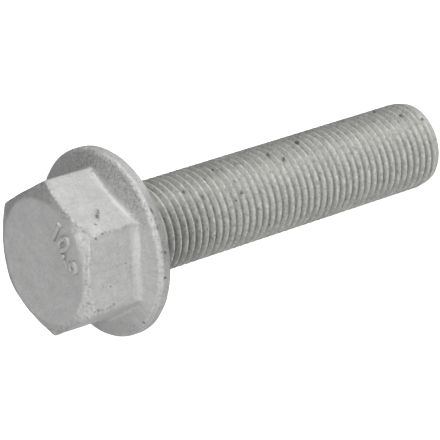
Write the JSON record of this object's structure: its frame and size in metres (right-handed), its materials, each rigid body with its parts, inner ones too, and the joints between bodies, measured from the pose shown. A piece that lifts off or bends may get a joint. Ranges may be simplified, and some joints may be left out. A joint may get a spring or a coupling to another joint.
{
  "type": "hex flange bolt",
  "caption": "Hex head bolt with a round flange under the head and a straight shank threaded along its length, for clamping parts together.",
  "frame": {"origin": "centre of the bearing face under the flange", "axes": "+Z along the bolt's axis from the threaded end to the head, +X towards a corner of the hexagon"},
  "size_m": [0.033, 0.033, 0.0842],
  "materials": {
    "zinc_coated_steel": "dull light grey zinc flake coating, fine grained"
  },
  "bodies": {
    "root": {"bolt": "zinc_coated_steel"}
  },
  "joints": []
}
